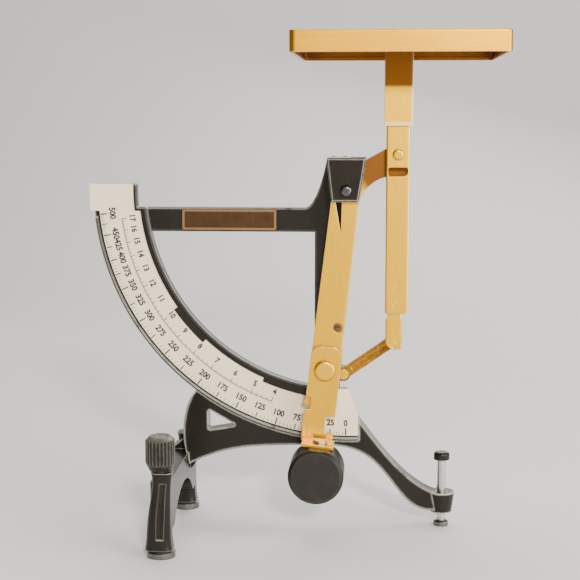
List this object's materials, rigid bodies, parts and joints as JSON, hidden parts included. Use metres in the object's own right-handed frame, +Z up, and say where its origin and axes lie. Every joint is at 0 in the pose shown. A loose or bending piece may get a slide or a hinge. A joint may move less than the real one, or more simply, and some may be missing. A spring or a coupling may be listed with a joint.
{
  "type": "pendulum counter scale",
  "caption": "Small pendulum balance: quadrant dial, bell-crank lever with reversible weight, parallel linkage and square platform.",
  "frame": {"origin": "on the table, under the middle of the whole scale's outline", "axes": "+X to the platform's side as seen from the front, +Y to the back, +Z up"},
  "size_m": [0.1854, 0.09, 0.224],
  "materials": {
    "black_enamel": "glossy black enamel on cast metal, thin on the edges",
    "dial_white": "cream enamel on sheet, black numbers and graduations",
    "name_bronze": "darkened bronze with a lighter raised border",
    "cover_black": "black enamel, worn bright on its bevels",
    "lever_brass": "lacquered brass, brushed along its length",
    "arm_brass": "lacquered brass, brushed along its length",
    "bob_black": "matt black lacquer over turned brass",
    "rod_brass": "lacquered brass, brushed along its length",
    "tray_gold": "gold anodised pressed sheet, satin",
    "fastener_brass": "turned brass",
    "fastener_steel": "turned steel",
    "knob_black": "black enamel, polished crown",
    "foot_steel": "blackened steel"
  },
  "bodies": {
    "base": {"quadrant_frame": "black_enamel", "dial_plate": "dial_white", "dial_studs": "fastener_brass", "name_plate": "name_bronze", "name_plate_studs": "fastener_brass", "bearing_cover": "cover_black", "cover_screws": "fastener_steel", "front_pivot_screw": "fastener_steel", "rear_pivot_screw": "fastener_steel", "pivot_locknut": "fastener_steel", "link_pivot_pin": "fastener_brass", "stand": "black_enamel", "stand_screws": "fastener_steel", "left_foot_yoke": "black_enamel", "yoke_screws": "fastener_steel", "rear_foot_pad": "foot_steel"},
    "lever": {"pendulum_lever": "lever_brass", "pivot_axle": "fastener_steel", "load_pin": "fastener_brass", "trim_screw": "fastener_steel", "flip_screw": "fastener_brass", "flip_nut": "fastener_brass", "friction_washer": "fastener_brass"},
    "range_weight": {"weight_arm": "arm_brass", "weight_bob": "bob_black", "bob_screw": "fastener_steel"},
    "rod": {"load_rod": "rod_brass", "rod_tail": "rod_brass", "tail_rivets": "fastener_brass", "tail_pin": "fastener_brass", "tail_clip": "fastener_steel"},
    "link": {"lower_link": "lever_brass"},
    "platform": {"platform_tray": "tray_gold", "platform_socket": "tray_gold", "socket_rivets": "tray_gold"},
    "front_leveller": {"levelling_knob": "knob_black", "levelling_stem": "foot_steel", "front_foot_pad": "foot_steel"},
    "right_leveller": {"right_levelling_screw": "foot_steel", "right_screw_cap": "knob_black", "right_foot_pad": "foot_steel"}
  },
  "joints": [
    {"name": "lever_swing", "type": "hinge", "parent": "base", "child": "lever", "pos_m": [0.0249, 0.006, 0.1565], "axis": [0, 1, 0], "range_deg": [0, 84]},
    {"name": "rod_pivot", "type": "hinge", "parent": "lever", "child": "rod", "pos_m": [0.0477, 0, 0.1725], "axis": [0, 1, 0], "range_deg": [-84, 0]},
    {"name": "link_pivot", "type": "hinge", "parent": "base", "child": "link", "pos_m": [0.0237, 0.0104, 0.072], "axis": [0, 1, 0], "range_deg": [0, 84]},
    {"name": "range_flip", "type": "hinge", "parent": "lever", "child": "range_weight", "pos_m": [0.01563, 0.002, 0.07513], "axis": [0, 1, 0], "range_deg": [0, 180]},
    {"name": "platform_lift", "type": "slide", "parent": "rod", "child": "platform", "axis": [0, 0, 1], "range_m": [0, 0.03]},
    {"name": "front_levelling", "type": "hinge", "parent": "base", "child": "front_leveller", "pos_m": [-0.0533, -0.037, 0.02], "axis": [0, 0, 1], "range_deg": [-720, 720]},
    {"name": "right_levelling", "type": "hinge", "parent": "base", "child": "right_leveller", "pos_m": [0.0694, 0.01636, 0.012], "axis": [0, 0, 1], "range_deg": [-720, 720]}
  ],
  "couplings": [
    {"joint": "rod_pivot", "follows": "lever_swing", "ratio": -1},
    {"joint": "link_pivot", "follows": "lever_swing", "ratio": 1}
  ]
}
